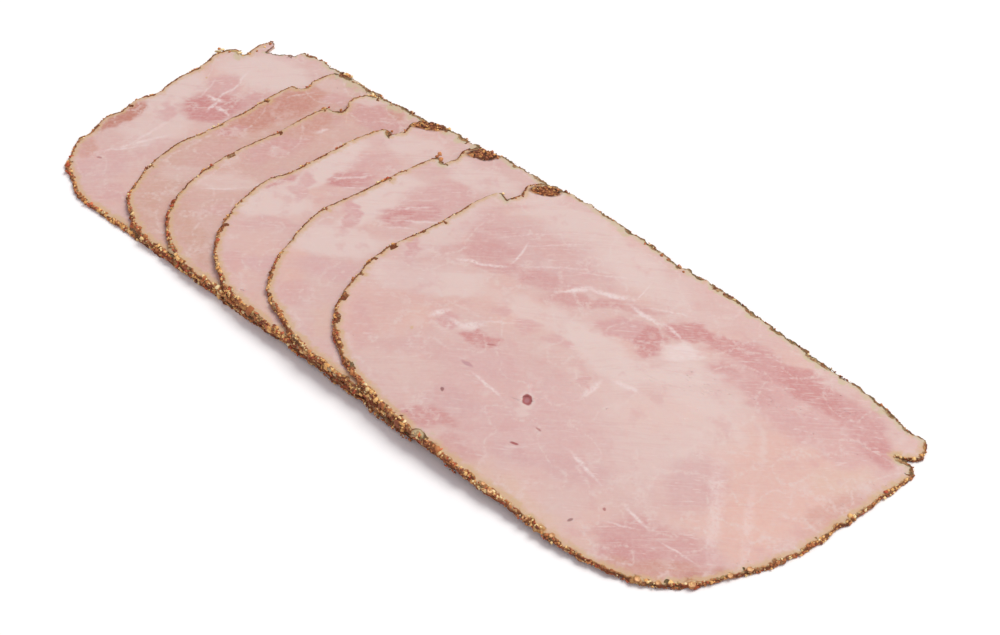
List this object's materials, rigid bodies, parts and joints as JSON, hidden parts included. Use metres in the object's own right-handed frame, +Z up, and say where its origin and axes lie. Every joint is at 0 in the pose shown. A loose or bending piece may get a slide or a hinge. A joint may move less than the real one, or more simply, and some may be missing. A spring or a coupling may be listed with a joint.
{
  "type": "sliced spiced ham",
  "caption": "Thin oblong slices of cooked ham with a cracked-spice crust round every rim, shingled in one straight row, each lying on the one before.",
  "frame": {"origin": "middle of the row's footprint, on the surface that it lies on", "axes": "+X along the row from the lowest slice to the top one, +Y across the slices towards their cleft corner, +Z up"},
  "size_m": [0.2956, 0.1084, 0.0087],
  "materials": {
    "cured_ham": "moist, fine-fibred cut meat with a soft sheen",
    "spice_crust": "dry, crumbly cracked spices, golden to dark brown"
  },
  "bodies": {
    "root": {"ham_slice_1": "cured_ham", "ham_slice_2": "cured_ham", "ham_slice_3": "cured_ham", "ham_slice_4": "cured_ham", "ham_slice_5": "cured_ham", "ham_slice_6": "cured_ham"}
  },
  "joints": []
}
